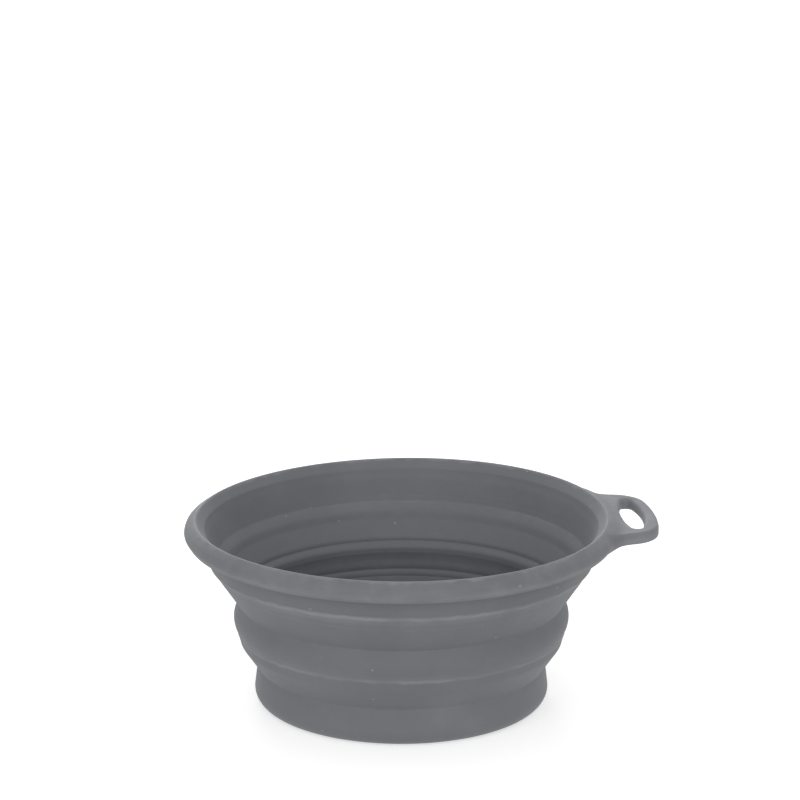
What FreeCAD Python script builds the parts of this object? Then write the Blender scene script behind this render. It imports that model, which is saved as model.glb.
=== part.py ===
"""Collapsible silicone bowl with a hang tab, standing open on its base.

One thin moulded wall rises from a flat floor in three stiff tiers: the base, the middle band
and the rim tier. Two thin sloping webs join the tiers. Each web hinges at a neck below and at
a ridge above, and turns over when the bowl is pushed flat, so that the tiers nest.

The bowl's axis is Z, the floor's underside is z = 0 and the hang tab points along +X.
Every length is in millimetres. An outline is a closed list of corners, anticlockwise, each
with its distance from the axis and its height. A third value in a corner is the radius of the
arc that leads on to the next corner: positive where it bulges outwards, negative where it
hollows inwards.
"""
import FreeCAD, Part
import math
import os

import Sketcher

DRIVING_SIZES = {
    # the whole bowl
    "rim_radius": 65.0,
    "bowl_height": 57.0,
    "base_radius": 44.6,
    # wall thicknesses, measured level
    "floor_thick": 2.0,
    "tier_thick": 1.9,
    "web_thick": 1.5,
    # base tier
    "base_round": 4.2,
    "base_lean": 1.0,
    # lower fold: neck, ridge and the half height of the hinge ring at each
    "low_neck_radius": 43.2,
    "low_neck_height": 11.6,
    "low_ridge_radius": 48.9,
    "low_ridge_height": 22.1,
    "hinge_half": 0.8,
    # shares of the lower web's run: where it starts, its knee, and where it ends
    "low_foot_share": 0.08,
    "knee_out_share": 0.84,
    "knee_up_share": 0.72,
    "low_head_share": 0.97,
    # middle band: its widest circle, the bulge of its barrel and its ends
    "band_radius": 50.6,
    "band_height": 25.6,
    "band_bulge": 19.0,
    "band_foot_share": 0.3,
    "band_top_height": 30.8,
    "band_top_step": 0.4,
    # upper fold
    "high_neck_radius": 48.7,
    "high_neck_height": 31.7,
    "high_ridge_radius": 57.4,
    "high_ridge_height": 43.9,
    "neck_shelf": 1.3,
    "shelf_rise": 0.5,
    # shares of the upper web's run: where it starts and where it ends
    "high_foot_share": 0.12,
    "high_head_share": 0.95,
    # rim tier: the skirt, then the bead's lip, its widest circle, its crest and its inner edge
    "skirt_top_thick": 2.4,
    "lip_height": 50.9,
    "lip_overhang": 4.6,
    "lip_round": 2.2,
    "lip_inset": 1.1,
    "lip_bulge": 3.5,
    "crest_setback": 2.6,
    "crest_bulge": 4.2,
    "rim_width": 5.8,
    "rim_dip": 2.6,
    # hang tab and its slot
    "tab_reach": 77.1,
    "tab_half_width": 20.0,
    "tab_corner": 9.5,
    "tab_flare": 6.5,
    "tab_bottom": 51.5,
    "tab_thick": 3.6,
    "tab_edge_round": 0.8,
    "slot_centre": 70.1,
    "slot_half_width": 3.3,
    "slot_half_length": 14.5,
    "slot_end_round": 2.3,
}


class Size:
    """A length that carries its number and its spreadsheet formula together."""

    def __init__(self, number, formula):
        self.number = number
        self.formula = formula

    def __add__(self, other):
        other = as_size(other)
        return Size(self.number + other.number, f"({self.formula} + {other.formula})")

    def __sub__(self, other):
        other = as_size(other)
        return Size(self.number - other.number, f"({self.formula} - {other.formula})")

    def __mul__(self, other):
        other = as_size(other)
        return Size(self.number * other.number, f"({self.formula} * {other.formula})")

    def __truediv__(self, other):
        other = as_size(other)
        return Size(self.number / other.number, f"({self.formula} / {other.formula})")


def as_size(thing):
    """A plain number as a Size; a Size stays as it is."""
    if isinstance(thing, Size):
        return thing
    return Size(float(thing), f"{float(thing):g}")


def other_leg(long_side, leg):
    """The second short side of a right-angled triangle."""
    square = long_side * long_side - leg * leg
    return Size(math.sqrt(square.number), f"sqrt({square.formula})")


def along(start, end, share):
    """The length that lies that share of the way from start to end."""
    return start + (end - start) * share


def make_sheet(doc):
    """The spreadsheet of driving sizes, and the same sizes by name."""
    sheet = doc.addObject("Spreadsheet::Sheet", "Sizes")
    for row, (name, value) in enumerate(DRIVING_SIZES.items(), start=1):
        sheet.set(f"A{row}", name)
        sheet.set(f"B{row}", f"{value:g}")
        sheet.setAlias(f"B{row}", name)
    doc.recompute()
    return {name: Size(value, f"Sizes.{name}") for name, value in DRIVING_SIZES.items()}


def origin_plane(body, role):
    """One of the body's own origin planes."""
    return next(f for f in body.Origin.OriginFeatures if f.Role == role)


def arc_between(start, end, radius):
    """The arc from start to end that bulges right of the way it runs, or left if radius < 0."""
    chord = end - start
    right = FreeCAD.Vector(chord.y, -chord.x, 0).normalize()
    sag = abs(radius) - math.sqrt(max(radius * radius - chord.Length ** 2 / 4, 0.0))
    middle = (start + end) * 0.5 + right * math.copysign(sag, radius)
    return Part.Arc(start, middle, end)


def pin_point(sketch, geometry, which, corner):
    """Ties one end of an edge to its formulas for the two directions."""
    for kind, axis, size in (("DistanceX", -2, corner[0]), ("DistanceY", -1, corner[1])):
        size = as_size(size)
        if size.number == 0.0:
            sketch.addConstraint(Sketcher.Constraint("PointOnObject", geometry, which, axis))
            continue
        tie = Sketcher.Constraint(kind, -1, 1, geometry, which, size.number)
        sketch.setExpression(f"Constraints[{sketch.addConstraint(tie)}]", size.formula)


def draw_outline(sketch, corners):
    """Draws the closed outline through the corners, every corner tied to its formulas."""
    points = [FreeCAD.Vector(as_size(c[0]).number, as_size(c[1]).number, 0) for c in corners]
    for index, corner in enumerate(corners):
        start = points[index]
        end = points[(index + 1) % len(points)]
        if len(corner) == 3:
            radius = as_size(corner[2])
            edge = sketch.addGeometry(arc_between(start, end, radius.number))
        else:
            edge = sketch.addGeometry(Part.LineSegment(start, end))
    for index, corner in enumerate(corners):
        before = (index - 1) % len(corners)
        first, last = edge_ends(sketch, index, points[index])
        _, last_before = edge_ends(sketch, before, points[before])
        join = Sketcher.Constraint("Coincident", before, last_before, index, first)
        sketch.addConstraint(join)
        pin_point(sketch, index, first, corner)
    for index, corner in enumerate(corners):
        if len(corner) == 3:
            radius = as_size(corner[2])
            size = abs(radius.number)
            sign = "-1 * " if radius.number < 0 else ""
            tie = sketch.addConstraint(Sketcher.Constraint("Radius", index, size))
            sketch.setExpression(f"Constraints[{tie}]", sign + radius.formula)


def edge_ends(sketch, index, start):
    """The sketch's numbers for the end of an edge at start and for its other end."""
    at_start = sketch.getPoint(index, 1).distanceToPoint(start) < 1e-6
    return (1, 2) if at_start else (2, 1)


def new_body(doc, label):
    """An empty body whose label is its piece's name."""
    body = doc.addObject("PartDesign::Body", label.title().replace("_", ""))
    body.Label = label
    return body


def make_ring(doc, label, corners):
    """A piece turned about the bowl's axis from its half section."""
    body = new_body(doc, label)
    sketch = body.newObject("Sketcher::SketchObject", f"{body.Name}Section")
    sketch.AttachmentSupport = (origin_plane(body, "XZ_Plane"), [""])
    sketch.MapMode = "FlatFace"
    draw_outline(sketch, corners)
    turned = body.newObject("PartDesign::Revolution", f"{body.Name}Turned")
    turned.Profile = sketch
    turned.ReferenceAxis = (sketch, ["V_Axis"])
    turned.Angle = 360
    sketch.Visibility = False
    doc.recompute()
    return body


def base_floor(doc, s):
    """The flat disc that the bowl stands on."""
    edge = s["base_radius"] - s["base_round"]
    return make_ring(doc, "base_floor", [
        (0, 0),
        (edge, 0),
        (edge, s["floor_thick"]),
        (0, s["floor_thick"]),
    ])


def base_wall(doc, s):
    """The lowest tier: a round-bottomed wall that leans in a little up to the lower neck."""
    edge = s["base_radius"] - s["base_round"]
    inner = s["base_radius"] - s["tier_thick"]
    top = s["low_neck_height"] - s["hinge_half"]
    top_radius = s["base_radius"] - s["base_lean"]
    inner_round = s["base_round"] - s["tier_thick"]
    return make_ring(doc, "base_wall", [
        (edge, 0, s["base_round"]),
        (s["base_radius"], s["base_round"]),
        (top_radius, top),
        (top_radius - s["tier_thick"], top),
        (inner, s["floor_thick"] + inner_round, inner_round * -1),
        (edge, s["floor_thick"]),
    ])


def lower_neck(doc, s):
    """The living hinge at the foot of the lower web."""
    outer = s["base_radius"] - s["base_lean"]
    crease = s["low_neck_height"]
    top_outer = along(s["low_neck_radius"], s["low_ridge_radius"], s["low_foot_share"])
    return make_ring(doc, "lower_neck", [
        (outer, crease - s["hinge_half"]),
        (s["low_neck_radius"], crease),
        (top_outer, crease + s["hinge_half"]),
        (top_outer - s["web_thick"], crease + s["hinge_half"]),
        (outer - s["tier_thick"], crease - s["hinge_half"]),
    ])


def lower_web(doc, s):
    """The thin cone that turns over when the lower fold collapses."""
    foot = s["low_neck_height"] + s["hinge_half"]
    head = s["low_ridge_height"] - s["hinge_half"]
    foot_outer = along(s["low_neck_radius"], s["low_ridge_radius"], s["low_foot_share"])
    knee_outer = along(s["low_neck_radius"], s["low_ridge_radius"], s["knee_out_share"])
    knee = along(foot, head, s["knee_up_share"])
    head_outer = along(s["low_neck_radius"], s["low_ridge_radius"], s["low_head_share"])
    return make_ring(doc, "lower_web", [
        (foot_outer, foot),
        (knee_outer, knee),
        (head_outer, head),
        (head_outer - s["web_thick"], head),
        (knee_outer - s["web_thick"], knee),
        (foot_outer - s["web_thick"], foot),
    ])


def lower_ridge(doc, s):
    """The living hinge that carries the middle band on the head of the lower web."""
    head = s["low_ridge_height"] - s["hinge_half"]
    head_outer = along(s["low_neck_radius"], s["low_ridge_radius"], s["low_head_share"])
    top = s["low_ridge_height"] + s["hinge_half"]
    top_outer = along(s["low_ridge_radius"], s["band_radius"], s["band_foot_share"])
    return make_ring(doc, "lower_ridge", [
        (head_outer, head),
        (s["low_ridge_radius"], s["low_ridge_height"]),
        (top_outer, top),
        (top_outer - s["tier_thick"], top),
        (head_outer - s["web_thick"], head),
    ])


def middle_band(doc, s):
    """The stiff middle tier, a barrel that is widest near its foot."""
    foot = s["low_ridge_height"] + s["hinge_half"]
    foot_outer = along(s["low_ridge_radius"], s["band_radius"], s["band_foot_share"])
    top_outer = s["high_neck_radius"] + s["band_top_step"]
    return make_ring(doc, "middle_band", [
        (foot_outer, foot),
        (s["band_radius"], s["band_height"], s["band_bulge"]),
        (top_outer, s["band_top_height"]),
        (top_outer - s["tier_thick"], s["band_top_height"], s["band_bulge"] * -1),
        (s["band_radius"] - s["tier_thick"], s["band_height"]),
        (foot_outer - s["tier_thick"], foot),
    ])


def upper_neck(doc, s):
    """The hinge at the foot of the upper web, with a narrow shelf inside."""
    foot_outer = s["high_neck_radius"] + s["band_top_step"]
    top = s["high_neck_height"] + s["neck_shelf"]
    top_outer = along(s["high_neck_radius"], s["high_ridge_radius"], s["high_foot_share"])
    shelf_inner = foot_outer - s["tier_thick"]
    return make_ring(doc, "upper_neck", [
        (foot_outer, s["band_top_height"]),
        (s["high_neck_radius"], s["high_neck_height"]),
        (top_outer, top),
        (top_outer - s["web_thick"], top),
        (shelf_inner, s["high_neck_height"] + s["shelf_rise"]),
        (shelf_inner, s["band_top_height"]),
    ])


def upper_web(doc, s):
    """The thin cone that turns over when the upper fold collapses."""
    foot = s["high_neck_height"] + s["neck_shelf"]
    head = s["high_ridge_height"] - s["hinge_half"]
    foot_outer = along(s["high_neck_radius"], s["high_ridge_radius"], s["high_foot_share"])
    head_outer = along(s["high_neck_radius"], s["high_ridge_radius"], s["high_head_share"])
    return make_ring(doc, "upper_web", [
        (foot_outer, foot),
        (head_outer, head),
        (head_outer - s["web_thick"], head),
        (foot_outer - s["web_thick"], foot),
    ])


def skirt_radius(s, height):
    """The outer radius of the rim tier's wall at a height."""
    rise = (height - s["high_ridge_height"]) / (s["lip_height"] - s["high_ridge_height"])
    top = s["rim_radius"] - s["lip_overhang"]
    return s["high_ridge_radius"] + (top - s["high_ridge_radius"]) * rise


def upper_ridge(doc, s):
    """The living hinge that carries the rim tier on the head of the upper web."""
    head = s["high_ridge_height"] - s["hinge_half"]
    head_outer = along(s["high_neck_radius"], s["high_ridge_radius"], s["high_head_share"])
    top = s["high_ridge_height"] + s["hinge_half"]
    top_outer = skirt_radius(s, top)
    return make_ring(doc, "upper_ridge", [
        (head_outer, head),
        (s["high_ridge_radius"], s["high_ridge_height"]),
        (top_outer, top),
        (top_outer - s["tier_thick"], top),
        (head_outer - s["web_thick"], head),
    ])


def rim_skirt(doc, s):
    """The leaning wall between the upper ridge and the rim."""
    foot = s["high_ridge_height"] + s["hinge_half"]
    foot_outer = skirt_radius(s, foot)
    top_outer = s["rim_radius"] - s["lip_overhang"]
    return make_ring(doc, "rim_skirt", [
        (foot_outer, foot),
        (top_outer, s["lip_height"]),
        (top_outer - s["skirt_top_thick"], s["lip_height"]),
        (foot_outer - s["tier_thick"], foot),
    ])


def rim_bead(doc, s):
    """The thick rounded rim that keeps the mouth round."""
    lip_edge = s["rim_radius"] - s["lip_inset"]
    widest = s["lip_height"] + s["lip_round"]
    crest = s["rim_radius"] - s["crest_setback"]
    inner_edge = s["rim_radius"] - s["rim_width"]
    inner_foot = s["rim_radius"] - s["lip_overhang"] - s["skirt_top_thick"]
    return make_ring(doc, "rim_bead", [
        (inner_foot, s["lip_height"]),
        (lip_edge, s["lip_height"], s["lip_bulge"]),
        (s["rim_radius"], widest, s["crest_bulge"]),
        (crest, s["bowl_height"], s["rim_width"]),
        (inner_edge, s["bowl_height"] - s["rim_dip"]),
    ])


def tab_outline(s):
    """The hang tab in plan: a wide loop with rounded corners, flared where it meets the rim."""
    side = s["tab_half_width"]
    corner_y = side - s["tab_corner"]
    corner_centre = s["tab_reach"] - s["tab_corner"]
    corner_x = other_leg(corner_centre, corner_y)
    reach_x = corner_x * s["tab_reach"] / corner_centre
    reach_y = corner_y * s["tab_reach"] / corner_centre
    flare_centre = s["rim_radius"] + s["tab_flare"]
    flare_y = side + s["tab_flare"]
    flare_x = other_leg(flare_centre, flare_y)
    root_x = flare_x * s["rim_radius"] / flare_centre
    root_y = flare_y * s["rim_radius"] / flare_centre
    buried_radius = s["rim_radius"] - s["crest_setback"]
    buried_x = flare_x * buried_radius / flare_centre
    buried_y = flare_y * buried_radius / flare_centre
    return [
        (buried_x, buried_y * -1),
        (root_x, root_y * -1, s["tab_flare"] * -1),
        (flare_x, side * -1),
        (corner_x, side * -1, s["tab_corner"]),
        (reach_x, reach_y * -1, s["tab_reach"]),
        (reach_x, reach_y, s["tab_corner"]),
        (corner_x, side),
        (flare_x, side, s["tab_flare"] * -1),
        (root_x, root_y),
        (buried_x, buried_y, buried_radius * -1),
    ]


def slot_outline(s):
    """The slot through the tab: an oval of two long side arcs and two tight end arcs."""
    width = s["slot_half_width"]
    tight = s["slot_end_round"]
    end_centre = s["slot_half_length"] - tight
    squares = width * width + end_centre * end_centre - tight * tight
    long_arc = squares / ((width - tight) * 2)
    offset = (long_arc - width) * tight / (long_arc - tight)
    meet = end_centre * long_arc / (long_arc - tight)
    return [
        (s["slot_centre"] - offset, meet * -1, tight),
        (s["slot_centre"] + offset, meet * -1, long_arc),
        (s["slot_centre"] + offset, meet, tight),
        (s["slot_centre"] - offset, meet, long_arc),
    ]


def plan_sketch(body, name, height, corners):
    """A sketch in the body's level plane at a height."""
    sketch = body.newObject("Sketcher::SketchObject", name)
    sketch.AttachmentSupport = (origin_plane(body, "XY_Plane"), [""])
    sketch.MapMode = "FlatFace"
    sketch.setExpression("AttachmentOffset.Base.z", height.formula)
    draw_outline(sketch, corners)
    sketch.Visibility = False
    return sketch


def tab_blank(doc, s):
    """The hang tab before it is fitted: its root still runs into the rim."""
    body = new_body(doc, "tab_blank")
    pad = body.newObject("PartDesign::Pad", "TabPad")
    pad.Profile = plan_sketch(body, "TabPlan", s["tab_bottom"], tab_outline(s))
    pad.setExpression("Length", s["tab_thick"].formula)
    doc.recompute()
    slot = body.newObject("PartDesign::Pocket", "TabSlot")
    slot.Profile = plan_sketch(body, "SlotPlan", s["tab_bottom"] + s["tab_thick"], slot_outline(s))
    slot.Type = "ThroughAll"
    doc.recompute()
    level = [
        f"Edge{number}"
        for number, edge in enumerate(slot.Shape.Edges, start=1)
        if edge.BoundBox.ZLength < 1e-6
    ]
    rounded = body.newObject("PartDesign::Fillet", "TabEdges")
    rounded.Base = (slot, level)
    rounded.setExpression("Radius", s["tab_edge_round"].formula)
    doc.recompute()
    return body


def hang_tab(doc, s, rim):
    """The loop that hangs the bowl from a hook, its root fitted to the rim's outer face."""
    fitted = doc.addObject("Part::Cut", "HangTab")
    fitted.Base = tab_blank(doc, s)
    fitted.Tool = rim
    fitted.Label = "hang_tab"
    doc.recompute()
    return fitted


def check(doc, pieces):
    """Stops with a plain message if any object failed or any piece has no sound solid."""
    failed = [o.Label for o in doc.Objects if {"Invalid", "Error"} & set(o.State)]
    if failed:
        raise RuntimeError(f"these objects failed: {failed}")
    for piece in pieces:
        shape = piece.Shape
        if shape.isNull() or not shape.isValid() or len(shape.Solids) != 1:
            raise RuntimeError(f"{piece.Label} has no sound single solid")


def main():
    doc = FreeCAD.newDocument("CollapsibleBowl")
    s = make_sheet(doc)
    makers = (
        base_floor,
        base_wall,
        lower_neck,
        lower_web,
        lower_ridge,
        middle_band,
        upper_neck,
        upper_web,
        upper_ridge,
        rim_skirt,
        rim_bead,
    )
    pieces = [maker(doc, s) for maker in makers]
    pieces.append(hang_tab(doc, s, pieces[-1]))
    doc.recompute()
    check(doc, pieces)
    os.makedirs("parts", exist_ok=True)
    for piece in pieces:
        piece.Shape.exportStep(f"parts/{piece.Label}.step")
        box = piece.Shape.BoundBox
        print(f"{piece.Label:14s} {piece.Shape.Volume:9.1f} mm3, z {box.ZMin:6.2f} to {box.ZMax:6.2f}")


main()
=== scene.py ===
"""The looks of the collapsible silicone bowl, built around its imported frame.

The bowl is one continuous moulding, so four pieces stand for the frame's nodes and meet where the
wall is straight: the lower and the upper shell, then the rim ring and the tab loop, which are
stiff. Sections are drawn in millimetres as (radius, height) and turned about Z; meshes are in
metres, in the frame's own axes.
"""
import itertools
import math

import bpy
import numpy as np
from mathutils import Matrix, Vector


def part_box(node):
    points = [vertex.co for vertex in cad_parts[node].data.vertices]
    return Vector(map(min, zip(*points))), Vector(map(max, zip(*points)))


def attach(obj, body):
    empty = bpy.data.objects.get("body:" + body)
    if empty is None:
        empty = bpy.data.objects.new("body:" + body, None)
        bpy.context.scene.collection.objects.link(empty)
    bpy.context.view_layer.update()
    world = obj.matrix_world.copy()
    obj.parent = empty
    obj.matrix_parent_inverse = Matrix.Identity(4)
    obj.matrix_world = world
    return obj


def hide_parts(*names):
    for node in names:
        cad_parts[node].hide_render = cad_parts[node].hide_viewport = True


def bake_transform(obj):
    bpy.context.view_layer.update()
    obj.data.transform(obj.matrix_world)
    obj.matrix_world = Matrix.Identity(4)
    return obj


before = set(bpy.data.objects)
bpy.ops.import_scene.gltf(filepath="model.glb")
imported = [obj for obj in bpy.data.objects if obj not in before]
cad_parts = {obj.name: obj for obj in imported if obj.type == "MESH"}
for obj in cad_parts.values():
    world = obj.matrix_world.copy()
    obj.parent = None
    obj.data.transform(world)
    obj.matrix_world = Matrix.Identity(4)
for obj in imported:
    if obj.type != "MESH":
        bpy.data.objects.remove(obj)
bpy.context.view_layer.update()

MM = 0.001

# ---- sizes read from the frame, in millimetres


def level(node, end):
    """The lowest (end 0) or highest (end 1) level of a node."""
    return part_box(node)[end].z / MM


def reach(node):
    """The largest radius of a turned node."""
    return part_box(node)[1].y / MM


BOWL_HEIGHT = level("rim_bead", 1)
RIM_RADIUS = reach("rim_bead")
LIP_LEVEL = level("rim_bead", 0)
SKIRT_TOP_RADIUS = reach("rim_skirt")
BASE_RADIUS = reach("base_wall")
FLOOR_THICK = level("base_floor", 1)
BASE_ROUND = BASE_RADIUS - reach("base_floor")
BAND_RADIUS = reach("middle_band")
LOW_NECK_LEVEL = (level("lower_neck", 0) + level("lower_neck", 1)) / 2
LOW_RIDGE_LEVEL = (level("lower_ridge", 0) + level("lower_ridge", 1)) / 2
HIGH_RIDGE_LEVEL = (level("upper_ridge", 0) + level("upper_ridge", 1)) / 2
HINGE_HALF = HIGH_RIDGE_LEVEL - level("upper_ridge", 0)
HIGH_NECK_LEVEL = level("upper_neck", 0) + HINGE_HALF
TAB_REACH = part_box("hang_tab")[1].x / MM
TAB_LOW = level("hang_tab", 0)
TAB_HIGH = level("hang_tab", 1)

# ---- sizes that only the looks need, in millimetres

# the outer face at each fold; the knee lies below the lower ridge and the barrel above it, and
# the base tier's bottom corner is drawn a little outside the tier
LOW_NECK_RADIUS = BASE_RADIUS - 1.2
LOW_RIDGE_RADIUS = BAND_RADIUS - 1.3
HIGH_NECK_RADIUS = BAND_RADIUS - 1.5
HIGH_RIDGE_RADIUS = SKIRT_TOP_RADIUS - 3.0
BASE_SPREAD = 0.3
KNEE_INSET = 0.8
KNEE_DROP = 3.2
BARREL_PROUD = 0.35
BARREL_RISE = 4.3

NECK_ROUND = 0.45
KNEE_ROUND = 3.0
LOW_RIDGE_ROUND = 0.6
BARREL_ROUND = 6.5
HIGH_RIDGE_ROUND = 2.0

TIER_THICK = 1.8
WEB_THICK = 1.25
UPPER_WEB_THICK = WEB_THICK + 0.3
RIDGE_THICK = 1.9
BARREL_THICK = 2.4
NECK_THICK = 1.5
HINGE_THICK = 1.0
LOW_RIDGE_THICK = HINGE_THICK + 0.3
SKIRT_THICK = RIDGE_THICK + 0.12

# where the lower shell hands over to the upper one, and the upper one to the rim ring
SEAM_LEVEL = LOW_RIDGE_LEVEL + 1.65
SKIRT_START = 2.2

# the raised ring inside the upper fold
INNER_CREST_LEVEL = HIGH_RIDGE_LEVEL - 2.6
INNER_CREST_THICK = 2.05

# thin raised lines round the outside, each at a height and this proud
RIBS = (
    (HIGH_RIDGE_LEVEL, 0.16),
    (HIGH_RIDGE_LEVEL - 3.9, 0.04),
    (LOW_RIDGE_LEVEL, 0.12),
)
RIB_HALF_WIDTH = 0.45

# how far the soft rim sits above the stiff drawing: (waves round the rim, cosine, sine)
RIM_WAVES = (
    (0, 0.08, 0.0),
    (1, 0.34, 0.25),
    (2, 0.09, 0.24),
)

# how finely the meshes are drawn: the flat floor has coarse rows and the wall fine ones, and a
# turn smaller than STRAIGHT, in radians, has no arc
SEGMENTS = 288
COARSE_ROW = 1.6
FINE_ROW = 0.3
FINE_ROWS_FROM = BASE_ROUND * 0.9
ARC_TURN = math.radians(9)
STRAIGHT = 1e-3
CUT_ANGLE = math.radians(55)


# ---- lines in the section plane


def unit(vector):
    return vector / np.linalg.norm(vector)


def between(start, end, height):
    """The point at a height on the straight line from start to end."""
    share = (height - start[1]) / (end[1] - start[1])
    return start[0] + (end[0] - start[0]) * share, height


def rounded_corner(before, corner, after, rounding):
    """The points of the arc that rounds a corner, or the corner itself where it stays sharp."""
    back = unit(before - corner)
    ahead = unit(after - corner)
    half_angle = math.acos(max(-1.0, min(1.0, float(back @ ahead)))) / 2
    turn = math.pi - 2 * half_angle
    if rounding == 0 or turn < STRAIGHT:
        return [corner]
    centre = corner + unit(back + ahead) * rounding / math.sin(half_angle)
    spoke = corner + back * rounding / math.tan(half_angle) - centre
    side = math.copysign(1.0, back[1] * ahead[0] - back[0] * ahead[1])
    count = max(2, math.ceil(turn / ARC_TURN), math.ceil(turn * rounding / FINE_ROW))
    points = []
    for step in range(count + 1):
        angle = side * turn * step / count
        cos = math.cos(angle)
        sin = math.sin(angle)
        swung = np.array([spoke[0] * cos - spoke[1] * sin, spoke[0] * sin + spoke[1] * cos])
        points.append(centre + swung)
    return points


def spaced(points):
    """The same line with points added, so that no gap is longer than a row."""
    filled = [points[0]]
    for start, end in zip(points, points[1:]):
        row = FINE_ROW if start[1] > FINE_ROWS_FROM else COARSE_ROW
        count = max(1, math.ceil(np.linalg.norm(end - start) / row - 1e-6))
        filled += [start + (end - start) * step / count for step in range(1, count + 1)]
    return np.array(filled)


def rounded_line(corners, closed):
    """The points of a line through corners, each of which starts (radius, height, rounding)."""
    places = [np.array(corner[:2], float) for corner in corners]
    points = []
    for index, corner in enumerate(corners):
        if not closed and index in (0, len(corners) - 1):
            points.append(places[index])
            continue
        after = places[(index + 1) % len(places)]
        points += rounded_corner(places[index - 1], places[index], after, corner[2])
    if closed:
        points.append(points[0])
    line = spaced(points)
    return line[:-1] if closed else line


def lengths_along(line):
    """Each point's distance along a line."""
    steps = np.linalg.norm(np.diff(line, axis=0), axis=1)
    return np.concatenate([[0.0], np.cumsum(steps)])


def right_normals(line):
    """The unit normal on the right of the way a line runs, at each point."""
    along = np.gradient(line, lengths_along(line), axis=0)
    along /= np.linalg.norm(along, axis=1)[:, None]
    return np.stack([along[:, 1], -along[:, 0]], axis=1)


def ramp(value, start, end):
    """From 0 before start to 1 after end, level at both."""
    share = np.clip((value - start) / (end - start), 0, 1)
    return share * share * (3 - 2 * share)


def eased(value, knots, heights):
    """Heights carried smoothly from one knot to the next, level at each knot."""
    index = np.clip(np.searchsorted(knots, value) - 1, 0, len(knots) - 2)
    share = ramp(value, knots[index], knots[index + 1])
    return heights[index] * (1 - share) + heights[index + 1] * share


# ---- the wall: its outer face and its thickness, from the middle of the floor to the rim tier


def wall_stations():
    """(radius, height, rounding, thickness) at each turn and each change of thickness.

    A station between two turns only sets the thickness; its height is given from a fold's level.
    """
    base_top = (BASE_RADIUS, BASE_ROUND)
    low_neck = (LOW_NECK_RADIUS, LOW_NECK_LEVEL)
    knee = (LOW_RIDGE_RADIUS - KNEE_INSET, LOW_RIDGE_LEVEL - KNEE_DROP)
    low_ridge = (LOW_RIDGE_RADIUS, LOW_RIDGE_LEVEL)
    barrel = (BAND_RADIUS + BARREL_PROUD, LOW_RIDGE_LEVEL + BARREL_RISE)
    high_neck = (HIGH_NECK_RADIUS, HIGH_NECK_LEVEL)
    high_ridge = (HIGH_RIDGE_RADIUS, HIGH_RIDGE_LEVEL)
    skirt_top = (SKIRT_TOP_RADIUS, LIP_LEVEL)

    def on(start, end, height, thickness):
        return (*between(start, end, height), 0, thickness)

    return [
        (0, 0, 0, FLOOR_THICK),
        (BASE_RADIUS - BASE_ROUND - 1, 0, 0, FLOOR_THICK),
        (BASE_RADIUS + BASE_SPREAD, 0, BASE_ROUND, TIER_THICK),
        on(base_top, low_neck, LOW_NECK_LEVEL - 1.6, TIER_THICK),
        (*low_neck, NECK_ROUND, WEB_THICK),
        on(low_neck, knee, LOW_NECK_LEVEL + 1.2, HINGE_THICK),
        on(low_neck, knee, LOW_NECK_LEVEL + 3.0, WEB_THICK),
        (*knee, KNEE_ROUND, WEB_THICK),
        (*low_ridge, LOW_RIDGE_ROUND, LOW_RIDGE_THICK),
        on(low_ridge, barrel, LOW_RIDGE_LEVEL + 1.3, TIER_THICK),
        on(low_ridge, barrel, LOW_RIDGE_LEVEL + 2.0, TIER_THICK),
        (*barrel, BARREL_ROUND, BARREL_THICK),
        on(barrel, high_neck, HIGH_NECK_LEVEL - 0.9, TIER_THICK),
        (*high_neck, NECK_ROUND, NECK_THICK),
        on(high_neck, high_ridge, HIGH_NECK_LEVEL + 1.6, HINGE_THICK),
        on(high_neck, high_ridge, HIGH_NECK_LEVEL + 2.8, UPPER_WEB_THICK),
        on(high_neck, high_ridge, INNER_CREST_LEVEL - 2.4, UPPER_WEB_THICK),
        on(high_neck, high_ridge, INNER_CREST_LEVEL, INNER_CREST_THICK),
        (*high_ridge, HIGH_RIDGE_ROUND, RIDGE_THICK),
        on(high_ridge, skirt_top, HIGH_RIDGE_LEVEL + SKIRT_START, SKIRT_THICK),
    ]


def wall_line():
    """The outer face, the middle line and the thickness of the wall, row by row."""
    stations = wall_stations()
    outer = rounded_line(stations, closed=False)
    length = lengths_along(outer)
    places = np.array([station[:2] for station in stations])
    nearest = [int(np.argmin(np.linalg.norm(outer - place, axis=1))) for place in places]
    thickness = eased(length, length[nearest], np.array([station[3] for station in stations]))
    normals = right_normals(outer)
    for height, proud in RIBS:
        away = (outer[:, 1] - height) / RIB_HALF_WIDTH
        rib = proud * np.exp(-away * away) * (outer[:, 0] > BASE_RADIUS - BASE_ROUND)
        outer = outer + normals * rib[:, None]
        thickness = thickness + rib

    # where the wall tapers, its middle line leans away from the outer face by half the taper, and
    # the wall is thickened square to the middle line
    along = np.stack([-normals[:, 1], normals[:, 0]], axis=1)
    taper = np.gradient(thickness, length)[:, None] / 2
    across = normals + along * taper
    across /= np.linalg.norm(across, axis=1)[:, None]
    middle = outer - across * thickness[:, None] / 2
    middle[0, 0] = 0.0
    return outer, middle, thickness


def settled(points):
    """Points of the stiff drawing, in metres, moved as the soft bowl really sits."""
    x, y, z = points.T
    angle = np.arctan2(y, x)
    share = np.clip(z / (BOWL_HEIGHT * MM), 0, 1) ** 2
    lift = 0.0
    for waves, cos, sin in RIM_WAVES:
        lift = lift + (cos * np.cos(waves * angle) + sin * np.sin(waves * angle))
    return np.stack([x, y, z + share * lift * MM], axis=1)


# ---- meshes

# which of a piece's two materials a face has
OUTSIDE_INDEX = 0
INSIDE_INDEX = 1


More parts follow.
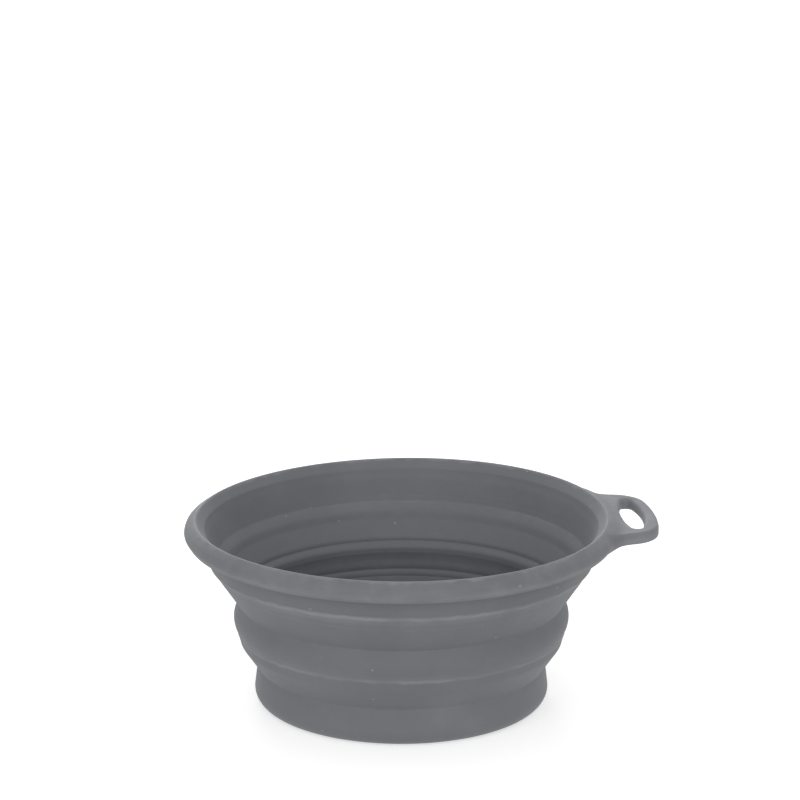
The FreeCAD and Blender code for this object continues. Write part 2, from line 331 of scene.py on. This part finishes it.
def new_piece(name, points, faces, rest):
    """A smooth-shaded object whose mesh keeps each point's undeformed place for its material."""
    mesh = bpy.data.meshes.new(name)
    mesh.from_pydata(points.tolist(), [], faces)
    mesh.update()
    mesh.polygons.foreach_set("use_smooth", [True] * len(mesh.polygons))
    kept = mesh.attributes.new("rest", "FLOAT_VECTOR", "POINT")
    kept.data.foreach_set("vector", rest.astype(np.float32).ravel())
    mesh.materials.append(OUTSIDE)
    mesh.materials.append(INSIDE)
    piece = bpy.data.objects.new(name, mesh)
    bpy.context.scene.collection.objects.link(piece)
    return piece


def turned(line):
    """A line turned about Z, in metres: a ring of points for each of the line's own."""
    angles = np.arange(SEGMENTS) * 2 * math.pi / SEGMENTS
    radius = line[:, 0][:, None] * MM
    height = np.broadcast_to(line[:, 1][:, None] * MM, (len(line), SEGMENTS))
    rings = np.stack([radius * np.cos(angles), radius * np.sin(angles), height], axis=-1)
    return rings.reshape(-1, 3)


def ring_faces(rows, closed):
    """Quads between neighbouring rings of points, which face right of the way the line runs."""
    faces = []
    for row in range(rows if closed else rows - 1):
        low = row * SEGMENTS
        high = (row + 1) % rows * SEGMENTS
        for step in range(SEGMENTS):
            after = (step + 1) % SEGMENTS
            faces.append((low + step, low + after, high + after, high + step))
    return faces


def sharp_edges(piece):
    """Keeps the shading sharp at the piece's cut ends."""
    split = piece.modifiers.new("cut_ends", "EDGE_SPLIT")
    split.split_angle = CUT_ANGLE


def shell(name, outer, middle, thickness):
    """A stretch of wall: its middle line turned about Z and thickened to both sides."""
    points = turned(middle)
    rest = turned(outer)
    faces = ring_faces(len(middle), closed=False)
    weights = np.repeat(thickness, SEGMENTS)
    if middle[0, 0] == 0.0:
        # the line starts on the axis, so its first ring is a single point inside a fan
        spare = SEGMENTS - 1
        points = points[spare:]
        rest = rest[spare:]
        weights = weights[spare:]
        fan = [((step + 1) % SEGMENTS + 1, step + 1, 0) for step in range(SEGMENTS)]
        faces = fan + [tuple(index - spare for index in face) for face in faces[SEGMENTS:]]
    piece = new_piece(name, settled(points), faces, rest)
    thickest = float(thickness.max())
    group = piece.vertex_groups.new(name="thickness")
    for index, weight in enumerate(weights / thickest):
        group.add([index], float(weight), "REPLACE")
    solid = piece.modifiers.new("wall", "SOLIDIFY")
    solid.thickness = thickest * MM
    solid.offset = 0
    solid.use_even_offset = True
    solid.vertex_group = group.name
    solid.material_offset = INSIDE_INDEX
    sharp_edges(piece)
    return piece


# ---- the rim ring

# the material of the inside starts this far below the top
INSIDE_DROP = 1.0


def rim_section(foot, foot_thickness):
    """The closed section of the rim ring, which carries on from the upper shell's last row.

    Its corners are placed from the rim's largest radius, the lip under the bead and the top.
    """
    lean = unit(np.array([SKIRT_TOP_RADIUS - HIGH_RIDGE_RADIUS, LIP_LEVEL - HIGH_RIDGE_LEVEL]))
    across = np.array([lean[1], -lean[0]]) * foot_thickness / 2
    inner_foot = foot - across
    outer_foot = foot + across
    return [
        (*inner_foot, 0),
        (*outer_foot, 0),
        (SKIRT_TOP_RADIUS, LIP_LEVEL, 0.35),
        (RIM_RADIUS - 1.2, LIP_LEVEL, 0.5),
        (RIM_RADIUS + 0.25, LIP_LEVEL + 2.2, 1.5),
        (RIM_RADIUS - 0.4, BOWL_HEIGHT - 1.7, 2.5),
        (RIM_RADIUS - 3.2, BOWL_HEIGHT + 0.25, 0.7),
        (RIM_RADIUS - 5.9, BOWL_HEIGHT - 2.5, 1.2),
    ]


def rim_ring(section):
    """The ring turned from the rim's section."""
    points = turned(section)
    faces = ring_faces(len(section), closed=True)
    piece = new_piece("rim_ring", settled(points), faces, points)
    for face in piece.data.polygons:
        outward = face.normal.x * face.center.x + face.normal.y * face.center.y
        below_top = face.center.z < (BOWL_HEIGHT - INSIDE_DROP) * MM
        face.material_index = INSIDE_INDEX if outward < 0 and below_top else OUTSIDE_INDEX
    sharp_edges(piece)
    return piece


# ---- the tab loop, as the zero surface of a field of signed distances, in millimetres

TAB_HALF_WIDTH = 20.0
TAB_CORNER = 10.0
TAB_FLARE = 6.5
TAB_FLARE_INSET = 0.6
TAB_EDGE = 0.8
TAB_ROOT_DEPTH = 2.0
SLOT_CENTRE = 70.1
SLOT_LEAN = 0.045
SLOT_HALF_WIDTH = 3.3
SLOT_HALF_LENGTH = 14.4
SLOT_END = 1.5
SLOT_SOFT = 1.5

# the tab's root takes in a slice of the rim just under the ring's surface; the slice loses its
# fillet, then sinks deeper, before each of its cut ends
TAB_BLEND = 2.6
LEAST_BLEND = 0.01
ROOT_FILLET_START = TAB_HALF_WIDTH + 2
ROOT_FILLET_END = TAB_HALF_WIDTH + 9
ROOT_END = TAB_HALF_WIDTH + 12
ROOT_INNER = RIM_RADIUS - 4.2
ROOT_INNER_FADE = 1.0
ROOT_DEPTH = 0.01
ROOT_SINK = 0.3

# the grid that finds the surface; it starts this far below the lip so that none of its planes
# grazes the rim's crest
TAB_CELL = 0.45
GRID_DROP = 2.2
GRID_MARGIN = 1.0

# how the surface's points are evened out and brought back onto it
SLOPE_STEP = 0.02
LEAST_SLOPE = 0.3
PULL_ROUNDS = 2
RELAX_ROUNDS = 3
RELAX_SHARE = 0.5


def section_distance(points, section):
    """Signed distance of (radius, height) points from a closed section, negative inside it."""
    nearest = np.full(len(points), np.inf)
    inside = np.zeros(len(points), bool)
    for start, end in zip(section, np.roll(section, -1, axis=0)):
        run = end - start
        share = np.clip((points - start) @ run / (run @ run), 0, 1)
        away = np.linalg.norm(points - start - share[:, None] * run, axis=1)
        nearest = np.minimum(nearest, away)
        crosses = (start[1] > points[:, 1]) != (end[1] > points[:, 1])
        if run[1] != 0:
            edge = start[0] + run[0] * (points[:, 1] - start[1]) / run[1]
            inside ^= crosses & (points[:, 0] < edge)
    return np.where(inside, -nearest, nearest)


def soft_min(a, b, blend):
    """The smaller of two distances, with a fillet where they are close."""
    near = np.clip(1 - np.abs(a - b) / blend, 0, 1)
    return np.minimum(a, b) - near * near * blend / 4


def soft_max(a, b, blend):
    """The larger of two distances, with a rounded edge where they are close."""
    return -soft_min(-a, -b, blend)


def tab_plan(x, y):
    """Signed distance in plan from the tab's outline, which flares into the rim's circle."""
    side = np.abs(y)
    radius = np.hypot(x, y)
    corner_y = TAB_HALF_WIDTH - TAB_CORNER
    corner_x = math.sqrt((TAB_REACH - TAB_CORNER) ** 2 - corner_y ** 2)
    beside = side * corner_x > x * corner_y
    flat_side = side - TAB_HALF_WIDTH
    tongue = np.maximum(np.where(beside, flat_side, radius - TAB_REACH), flat_side)
    round_corner = np.hypot(x - corner_x, side - corner_y) - TAB_CORNER
    tongue = np.where((x > corner_x) & beside, round_corner, tongue)
    rim = radius - (RIM_RADIUS - TAB_FLARE_INSET)
    flare = np.hypot(np.maximum(TAB_FLARE - tongue, 0), np.maximum(TAB_FLARE - rim, 0))
    return np.maximum(TAB_FLARE, np.minimum(tongue, rim)) - flare


def slot_plan(x, y):
    """Signed distance in plan from the slot, an oval of two long arcs and two tight ends."""
    end_y = SLOT_HALF_LENGTH - SLOT_END
    bulge = SLOT_HALF_WIDTH - SLOT_END
    long_arc = (SLOT_HALF_WIDTH ** 2 + end_y ** 2 - SLOT_END ** 2) / (2 * bulge)
    across = np.abs(x - SLOT_CENTRE - SLOT_LEAN * y)
    along = np.abs(y)
    arc_side = np.hypot(across + long_arc - SLOT_HALF_WIDTH, along) - long_arc
    end_side = np.hypot(across, along - end_y) - SLOT_END
    arc_back = long_arc - SLOT_HALF_WIDTH
    beyond = along * arc_back > end_y * (across + long_arc - SLOT_HALF_WIDTH)
    return np.where(beyond, end_side, arc_side)


def tab_field(points, section):
    """Signed distance from the tab loop and the slice of rim that its root blends into."""
    x, y, z = points.T
    radius = np.hypot(x, y)
    side = np.abs(y)
    plan = np.maximum(tab_plan(x, y), RIM_RADIUS - TAB_ROOT_DEPTH - radius) + TAB_EDGE
    tall = np.abs(z - (TAB_LOW + TAB_HIGH) / 2) - (TAB_HIGH - TAB_LOW) / 2 + TAB_EDGE
    beyond = np.hypot(np.maximum(plan, 0), np.maximum(tall, 0))
    slab = beyond + np.minimum(np.maximum(plan, tall), 0)
    slab = soft_max(slab - TAB_EDGE, -slot_plan(x, y), SLOT_SOFT)
    sink = ramp(side, ROOT_FILLET_END, ROOT_END)
    sink = sink + ramp(-radius, -ROOT_INNER - ROOT_INNER_FADE, -ROOT_INNER)
    rim = section_distance(np.stack([radius, z], axis=1), section) + ROOT_DEPTH + ROOT_SINK * sink
    blend = TAB_BLEND * (1 - ramp(side, ROOT_FILLET_START, ROOT_FILLET_END)) + LEAST_BLEND
    field = soft_min(slab, rim, blend)
    return np.maximum(field, np.maximum(ROOT_INNER - radius, side - ROOT_END))


def surface_net(field, low, high, cell):
    """Points and quads of the surface where a field is zero, found on a grid of cells.

    Each cell that the surface passes through has a point, and each of the grid's edges that it
    crosses has a quad of the four cells round it.
    """
    counts = np.ceil((high - low) / cell).astype(int) + 1
    axes = [low[k] + np.arange(counts[k]) * cell for k in range(3)]
    grid = np.stack(np.meshgrid(*axes, indexing="ij"), axis=-1).reshape(-1, 3)
    inside = (field(grid) < 0).reshape(counts)
    corners = np.zeros(counts - 1, int)
    for i, j, k in itertools.product((0, 1), repeat=3):
        corners += inside[i:counts[0] - 1 + i, j:counts[1] - 1 + j, k:counts[2] - 1 + k]
    mixed = (corners > 0) & (corners < 8)
    number = np.full(mixed.shape, -1)
    number[mixed] = np.arange(mixed.sum())
    points = low + (np.argwhere(mixed) + 0.5) * cell
    quads = []
    for axis in range(3):
        u = (axis + 1) % 3
        v = (axis + 2) % 3
        first = np.take(inside, range(counts[axis] - 1), axis)
        after = np.take(inside, range(1, counts[axis]), axis)
        for place in np.argwhere(first != after):
            if any(place[k] in (0, counts[k] - 1) for k in (u, v)):
                continue
            ring = []
            for du, dv in ((-1, -1), (0, -1), (0, 0), (-1, 0)):
                spot = place.copy()
                spot[u] += du
                spot[v] += dv
                ring.append(int(number[tuple(spot)]))
            quads.append(ring if first[tuple(place)] else ring[::-1])
    return points, quads


def pulled_on(points, field):
    """Points moved along the field's slope until they lie on its zero surface."""
    for _ in range(PULL_ROUNDS):
        value = field(points)
        shifts = np.eye(3) * SLOPE_STEP
        rises = [field(points + shift) - value for shift in shifts]
        slope = np.stack(rises, axis=1) / SLOPE_STEP
        slope /= np.maximum(np.linalg.norm(slope, axis=1), LEAST_SLOPE)[:, None]
        points = points - slope * value[:, None]
    return points


def relaxed(points, quads):
    """Points moved part of the way to the middle of their neighbours."""
    quads = np.array(quads)
    total = np.zeros_like(points)
    count = np.zeros(len(points))
    for a, b in ((0, 1), (1, 2), (2, 3), (3, 0)):
        for one, other in ((a, b), (b, a)):
            np.add.at(total, quads[:, one], points[quads[:, other]])
            np.add.at(count, quads[:, one], 1)
    return points + (total / count[:, None] - points) * RELAX_SHARE


def tab_loop(section):
    """The hang tab, with its slot, its rounded edges and its fillets into the rim."""
    def field(points):
        return tab_field(points, section)

    nearest_x = math.sqrt(ROOT_INNER ** 2 - ROOT_END ** 2)
    low = np.array([nearest_x - GRID_MARGIN, -ROOT_END - GRID_MARGIN, LIP_LEVEL - GRID_DROP])
    high = np.array([TAB_REACH, ROOT_END, BOWL_HEIGHT]) + GRID_MARGIN
    points, quads = surface_net(field, low, high, TAB_CELL)
    points = pulled_on(points, field)
    for _ in range(RELAX_ROUNDS):
        points = pulled_on(relaxed(points, quads), field)
    points = points * MM
    return new_piece("tab_loop", settled(points), quads, points)


# ---- materials


class Nodes:
    """Builds a material's nodes; a value given to it may be a number or another node's output."""

    def __init__(self, material):
        material.use_nodes = True
        self.tree = material.node_tree
        self.shader = self.tree.nodes["Principled BSDF"]

    def put(self, socket, value):
        if isinstance(value, bpy.types.NodeSocket):
            self.tree.links.new(value, socket)
        else:
            socket.default_value = value

    def math(self, operation, first, second=0.0):
        node = self.tree.nodes.new("ShaderNodeMath")
        node.operation = operation
        self.put(node.inputs[0], first)
        self.put(node.inputs[1], second)
        return node.outputs[0]

    def remap(self, value, start, end, low=0.0, high=1.0):
        """Low where value is at start, high where it is at end, eased and clamped between."""
        node = self.tree.nodes.new("ShaderNodeMapRange")
        node.interpolation_type = "SMOOTHSTEP"
        self.put(node.inputs["Value"], value)
        node.inputs["From Min"].default_value = start
        node.inputs["From Max"].default_value = end
        node.inputs["To Min"].default_value = low
        node.inputs["To Max"].default_value = high
        return node.outputs["Result"]

    def noise(self, place, size, detail=3.0):
        """Noise whose blotches are about that size across, in the units of place."""
        node = self.tree.nodes.new("ShaderNodeTexNoise")
        self.put(node.inputs["Vector"], place)
        node.inputs["Scale"].default_value = 1 / size
        node.inputs["Detail"].default_value = detail
        return node.outputs["Fac"]

    def spots(self, place, spacing):
        """The distance from the nearest of many scattered points, and that point's own shade."""
        node = self.tree.nodes.new("ShaderNodeTexVoronoi")
        self.put(node.inputs["Vector"], place)
        node.inputs["Scale"].default_value = 1 / spacing
        own = self.tree.nodes.new("ShaderNodeSeparateColor")
        self.tree.links.new(node.outputs["Color"], own.inputs[0])
        return self.math("MULTIPLY", node.outputs["Distance"], spacing), own.outputs[0]

    def mix(self, share, first, second):
        """A mix of two colours, by the Mix node's colour sockets: inputs 6 and 7, output 2."""
        node = self.tree.nodes.new("ShaderNodeMix")
        node.data_type = "RGBA"
        self.put(node.inputs[0], share)
        self.put(node.inputs[6], first)
        self.put(node.inputs[7], second)
        return node.outputs[2]

    def bump(self, height, distance, strength, under=None):
        node = self.tree.nodes.new("ShaderNodeBump")
        self.put(node.inputs["Height"], height)
        node.inputs["Distance"].default_value = distance
        node.inputs["Strength"].default_value = strength
        if under is not None:
            self.tree.links.new(under, node.inputs["Normal"])
        return node.outputs["Normal"]

    def rest_place(self):
        """The undeformed place in millimetres, its x, its height and its distance from Z."""
        rest = self.tree.nodes.new("ShaderNodeAttribute")
        rest.attribute_name = "rest"
        scale = self.tree.nodes.new("ShaderNodeVectorMath")
        scale.operation = "MULTIPLY"
        scale.inputs[1].default_value = (1 / MM, 1 / MM, 1 / MM)
        self.tree.links.new(rest.outputs["Vector"], scale.inputs[0])
        place = scale.outputs[0]
        axes = self.tree.nodes.new("ShaderNodeSeparateXYZ")
        self.tree.links.new(place, axes.inputs[0])
        x, y, height = axes.outputs
        squares = self.math("ADD", self.math("POWER", x, 2.0), self.math("POWER", y, 2.0))
        return place, x, height, self.math("SQRT", squares)


# where the silicone is painted pale in rings, partly wear from handling and partly painted
# highlights
# along the crest, the lip and the ridges: each ring's height and half width in millimetres, and
# its strength
PALE_RINGS_WEAR_AND_HIGHLIGHT = (
    (BOWL_HEIGHT, 0.7, 0.5),
    (LIP_LEVEL + 1.5, 1.7, 0.4),
    (HIGH_RIDGE_LEVEL, 0.9, 0.7),
    (HIGH_RIDGE_LEVEL - 1.0, 2.4, 0.35),
    (HIGH_RIDGE_LEVEL - 3.9, 0.6, 0.15),
    (LOW_RIDGE_LEVEL, 0.7, 0.5),
    (LOW_RIDGE_LEVEL + 0.6, 2.0, 0.15),
)
RING_WANDER = 1.6
# how much paler the tab is painted: a painted highlight
TAB_PAINTED_HIGHLIGHT = 0.32
DUST_STRENGTH = 0.75

# how large the marks of each kind are, in millimetres
BROAD_CLOUD = 30.0
FINE_CLOUD = 3.5
WANDER_SIZE = 3.5
RING_PATCH = 14.0
BEAD_BLOTCH = 6.0
SMUDGE_SIZE = 16.0
DUST_SPACING = 4.5
DUST_EDGE = 0.8
FLOW_SIZE = 9.0
GRAIN_SIZE = 0.45

SHEEN = 0.13
SHEEN_ROUGH = 0.5
FLOW_DEPTH = 0.35 * MM
GRAIN_DEPTH = 0.04 * MM
DARK_GREY = (0.138, 0.144, 0.157, 1)
PALE_GREY = (0.163, 0.169, 0.183, 1)
# the pale grey of dust, wear and painted highlights
DUST_AND_HIGHLIGHT_GREY = (0.262, 0.267, 0.286, 1)


def pale_share(nodes, place, height, fine_cloud, shaded_web_tone):
    """How pale clean silicone is: clouds at random, cut down on the upper web as a painted shade.
    """
    broad_cloud = nodes.remap(nodes.noise(place, BROAD_CLOUD, detail=4.0), 0.35, 0.68)
    broad = nodes.math("MULTIPLY", broad_cloud, 0.6)
    fine = nodes.math("MULTIPLY", fine_cloud, 0.4)
    tone = nodes.math("ADD", broad, fine)
    # between the upper neck and the inner crest the pale tone is cut down: a painted shade
    crest = INNER_CREST_LEVEL
    above_web = nodes.remap(height, crest - 0.5, crest + 0.5, low=shaded_web_tone, high=1.0)
    below_web = nodes.remap(height, HIGH_NECK_LEVEL - 1.5, HIGH_NECK_LEVEL, low=1.0, high=shaded_web_tone)
    web_painted_shade = nodes.math("MAXIMUM", above_web, below_web)
    return nodes.math("MULTIPLY", tone, web_painted_shade)


def wear_and_highlight_share(nodes, place, tab_side, height, radius):
    """Pale marks: wear and painted highlights in ridge rings and bead blotches, a painted
    highlight on the tab, smudges.
    """
    wander = nodes.math("SUBTRACT", nodes.noise(place, WANDER_SIZE, detail=4.0), 0.5)
    ragged_height = nodes.math("ADD", height, nodes.math("MULTIPLY", wander, RING_WANDER))
    ring_patch_noise = nodes.noise(place, RING_PATCH, detail=4.0)
    ring_patches = nodes.remap(ring_patch_noise, 0.36, 0.62, low=0.4, high=1.0)
    total = 0.0
    # each ring is part wear and part painted highlight
    for ring_level, half_width, strength in PALE_RINGS_WEAR_AND_HIGHLIGHT:
        away = nodes.math("ABSOLUTE", nodes.math("SUBTRACT", ragged_height, ring_level))
        ring = nodes.remap(away, half_width, 0.0, high=strength)
        total = nodes.math("ADD", nodes.math("MULTIPLY", ring, ring_patches), total)
    # the bead's top is painted paler in blotches, part wear and part painted highlight
    on_bead = nodes.remap(radius, RIM_RADIUS - 3.5, RIM_RADIUS - 1.5)
    above_lip = nodes.remap(height, LIP_LEVEL - 0.3, LIP_LEVEL + 0.5)
    blotch = nodes.noise(place, BEAD_BLOTCH, detail=5.0)
    blotches = nodes.remap(blotch, 0.42, 0.72, low=0.03, high=0.22)
    bead = nodes.math("MULTIPLY", nodes.math("MULTIPLY", on_bead, above_lip), blotches)
    # the tab painted paler all over: a painted highlight
    tab_highlight = nodes.remap(tab_side, RIM_RADIUS - 4, RIM_RADIUS + 2, high=TAB_PAINTED_HIGHLIGHT)
    smudge = nodes.remap(nodes.noise(place, SMUDGE_SIZE, detail=5.0), 0.55, 0.75, high=0.1)
    return nodes.math("ADD", nodes.math("ADD", total, bead), nodes.math("ADD", tab_highlight, smudge))


def speck_share(nodes, place):
    """Small ragged specks of dust at some of many scattered points."""
    away, own_shade = nodes.spots(place, DUST_SPACING)
    size = nodes.remap(own_shade, 0.55, 1.0, high=0.55)
    ragged = nodes.math("MULTIPLY", nodes.noise(place, DUST_EDGE), 0.5)
    ragged_away = nodes.math("ADD", away, ragged)
    speck = nodes.remap(nodes.math("SUBTRACT", ragged_away, size), 0.22, 0.08)
    return nodes.math("MULTIPLY", speck, DUST_STRENGTH)


def silicone(name, wear, shaded_web_tone):
    """Matt grey moulded silicone: faintly mottled, paler on its ridges, bead and tab from wear and
    painted highlights, with a little dust.

    Wear scales the pale marks, wear and painted highlights alike, and shaded_web_tone how much of
    the pale mottling is left on the upper web, the rest being a painted shade.
    """
    material = bpy.data.materials.new(name)
    nodes = Nodes(material)
    place, tab_side, height, radius = nodes.rest_place()
    fine_cloud = nodes.remap(nodes.noise(place, FINE_CLOUD, detail=5.0), 0.3, 0.7)
    pale = pale_share(nodes, place, height, fine_cloud, shaded_web_tone)
    colour = nodes.mix(pale, DARK_GREY, PALE_GREY)
    wear_and_highlight = nodes.math("MULTIPLY", wear_and_highlight_share(nodes, place, tab_side, height, radius), wear)
    # the pale share: dust specks, wear and painted highlights together
    dust = nodes.math("MAXIMUM", wear_and_highlight, speck_share(nodes, place))
    nodes.put(nodes.shader.inputs["Base Color"], nodes.mix(dust, colour, DUST_AND_HIGHLIGHT_GREY))

    rough = nodes.remap(fine_cloud, 0.0, 1.0, low=0.56, high=0.66)
    marked_rough = nodes.math("ADD", rough, nodes.math("MULTIPLY", dust, 0.2))
    nodes.put(nodes.shader.inputs["Roughness"], marked_rough)
    nodes.shader.inputs["Sheen Weight"].default_value = SHEEN
    nodes.shader.inputs["Sheen Roughness"].default_value = SHEEN_ROUGH

    flow = nodes.bump(nodes.noise(place, FLOW_SIZE, detail=2.0), FLOW_DEPTH, 0.5)
    grain = nodes.bump(nodes.noise(place, GRAIN_SIZE, detail=2.0), GRAIN_DEPTH, 0.6, under=flow)
    nodes.put(nodes.shader.inputs["Normal"], grain)
    return material


# the inside has fewer pale marks and a painted shade on its upper web
OUTSIDE = silicone("silicone_outside", wear=1.0, shaded_web_tone=1.0)
INSIDE = silicone("silicone_inside", wear=0.3, shaded_web_tone=0.15)


# ---- the bowl


def build_bowl():
    """The four pieces; the rim ring and the tab loop ride on the rim, and the nodes they stand for
    are hidden.
    """
    outer, middle, thickness = wall_line()
    seam = int(np.argmin(np.abs(outer[:, 1] - SEAM_LEVEL)))
    lower = shell("lower_shell", outer[:seam + 1], middle[:seam + 1], thickness[:seam + 1])
    upper = shell("upper_shell", outer[seam:], middle[seam:], thickness[seam:])
    section = rounded_line(rim_section(middle[-1], thickness[-1]), closed=True)
    ring = rim_ring(section)
    tab = tab_loop(section)
    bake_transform(lower)
    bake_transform(upper)
    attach(ring, "rim")
    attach(tab, "rim")
    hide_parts("base_floor", "base_wall", "lower_neck", "lower_web", "lower_ridge")
    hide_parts("middle_band", "upper_neck", "upper_web", "upper_ridge")
    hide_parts("rim_skirt", "rim_bead")
    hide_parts("hang_tab")


build_bowl()

# ---- stage, light and camera

FLOOR_HALF_SIDE = 5.0
FLOOR_WHITE = 0.9
FLOOR_GLOW = 0.45
ROOM_STRENGTH = 0.69

# (name, place in metres, side in metres, power in watts); each one faces the bowl
SOFTBOXES = (
    ("softbox_front", (-0.10, -1.90, 0.90), 0.9, 8.0),
    ("softbox_front_left", (-1.40, -1.30, 0.80), 0.9, 4.0),
    ("softbox_front_right", (1.40, -1.30, 0.80), 0.9, 0.8),
    ("softbox_back_high", (0.00, 1.60, 1.80), 1.0, 3.5),
    ("softbox_back", (0.00, 2.60, 0.90), 0.9, 15.0),
)
AIM = Vector((0, 0, BOWL_HEIGHT * MM / 2))

# the camera stands off along -Y, turned about Z, and looks down; its place is in metres
CAMERA_BACK = 0.9816
CAMERA_UP = 0.3595
CAMERA_TURN = math.radians(6.8)
CAMERA_PAN = math.radians(0.023)
CAMERA_PITCH = math.radians(15.18)
CAMERA_LENS = 154.1
CAMERA_SENSOR = 36.0


def white_floor():
    """Matt white with a glow of its own, so that the bowl's shadow on it stays faint."""
    material = bpy.data.materials.new("white_floor")
    material.use_nodes = True
    shader = material.node_tree.nodes["Principled BSDF"]
    shader.inputs["Base Color"].default_value = (FLOOR_WHITE, FLOOR_WHITE, FLOOR_WHITE, 1)
    shader.inputs["Roughness"].default_value = 1
    shader.inputs["Emission Color"].default_value = (1, 1, 1, 1)
    shader.inputs["Emission Strength"].default_value = FLOOR_GLOW
    return material


def plain_floor():
    """A white floor that the camera sees, but that throws no light up at the bowl."""
    far = FLOOR_HALF_SIDE
    mesh = bpy.data.meshes.new("floor")
    corners = [(-far, -far, 0), (far, -far, 0), (far, far, 0), (-far, far, 0)]
    mesh.from_pydata(corners, [], [(0, 1, 2, 3)])
    mesh.materials.append(white_floor())
    floor = bpy.data.objects.new("floor", mesh)
    floor.visible_diffuse = False
    floor.visible_glossy = False
    bpy.context.scene.collection.objects.link(floor)


def light_room():
    """Even light from all round, and the softboxes, which the camera doesn't see."""
    world = bpy.data.worlds.new("room")
    world.use_nodes = True
    background = world.node_tree.nodes["Background"]
    background.inputs["Color"].default_value = (1, 1, 1, 1)
    background.inputs["Strength"].default_value = ROOM_STRENGTH
    bpy.context.scene.world = world
    for name, place, side, power in SOFTBOXES:
        light = bpy.data.lights.new(name, "AREA")
        light.size = side
        light.energy = power
        softbox = bpy.data.objects.new(name, light)
        softbox.location = place
        softbox.rotation_euler = (AIM - Vector(place)).to_track_quat("-Z", "Y").to_euler()
        softbox.visible_camera = False
        bpy.context.scene.collection.objects.link(softbox)


def place_camera():
    """The photograph's own view of the bowl."""
    data = bpy.data.cameras.new("camera")
    data.sensor_width = CAMERA_SENSOR
    data.lens = CAMERA_LENS
    camera = bpy.data.objects.new("camera", data)
    x = -CAMERA_BACK * math.sin(CAMERA_TURN)
    y = -CAMERA_BACK * math.cos(CAMERA_TURN)
    camera.location = (x, y, CAMERA_UP)
    camera.rotation_euler = (math.pi / 2 - CAMERA_PITCH, 0, CAMERA_PAN - CAMERA_TURN)
    bpy.context.scene.collection.objects.link(camera)
    bpy.context.scene.camera = camera


plain_floor()
light_room()
place_camera()
bpy.context.scene.view_settings.view_transform = "Standard"
